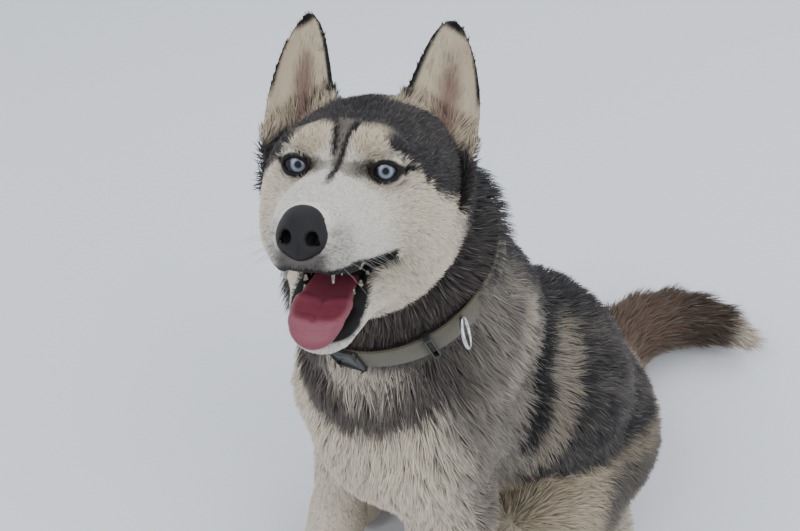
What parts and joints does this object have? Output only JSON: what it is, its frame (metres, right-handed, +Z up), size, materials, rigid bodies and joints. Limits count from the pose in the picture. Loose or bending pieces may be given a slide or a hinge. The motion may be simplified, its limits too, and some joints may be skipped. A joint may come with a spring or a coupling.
{
  "type": "sitting husky dog model",
  "caption": "Life-size still model of a sitting husky with a turned, raised head, open mouth, upright ears, tail laid on the floor and a webbing collar.",
  "frame": {"origin": "floor point under the middle of the outline", "axes": "+Z up, the dog's body faces -Y with its left side towards +X, and its tail lies towards +Y"},
  "size_m": [0.3328, 0.8428, 0.7381],
  "materials": {
    "coat_dark": "dense matt fur, charcoal to grey",
    "coat_pale": "dense matt fur, cream to white",
    "nose": "fine-grained moist leather",
    "eye": "clear polished eye, pale blue",
    "tongue": "moist, finely pimpled",
    "webbing": "woven webbing, olive grey",
    "buckle": "matt black moulding",
    "steel": "polished ring"
  },
  "bodies": {
    "root": {"head": "coat_dark", "jaw": "coat_pale", "neck": "coat_dark", "chest": "coat_dark", "hindquarters": "coat_dark", "tail": "coat_dark", "foreleg_left": "coat_pale", "forepaw_left": "coat_pale", "thigh_left": "coat_dark", "hindpaw_left": "coat_pale", "ear_left": "coat_dark", "eye_left": "eye", "foreleg_right": "coat_pale", "forepaw_right": "coat_pale", "thigh_right": "coat_dark", "hindpaw_right": "coat_pale", "ear_right": "coat_dark", "eye_right": "eye", "nose": "nose", "tongue": "tongue", "collar": "webbing", "collar_buckle": "buckle", "collar_ring": "steel"}
  },
  "joints": []
}
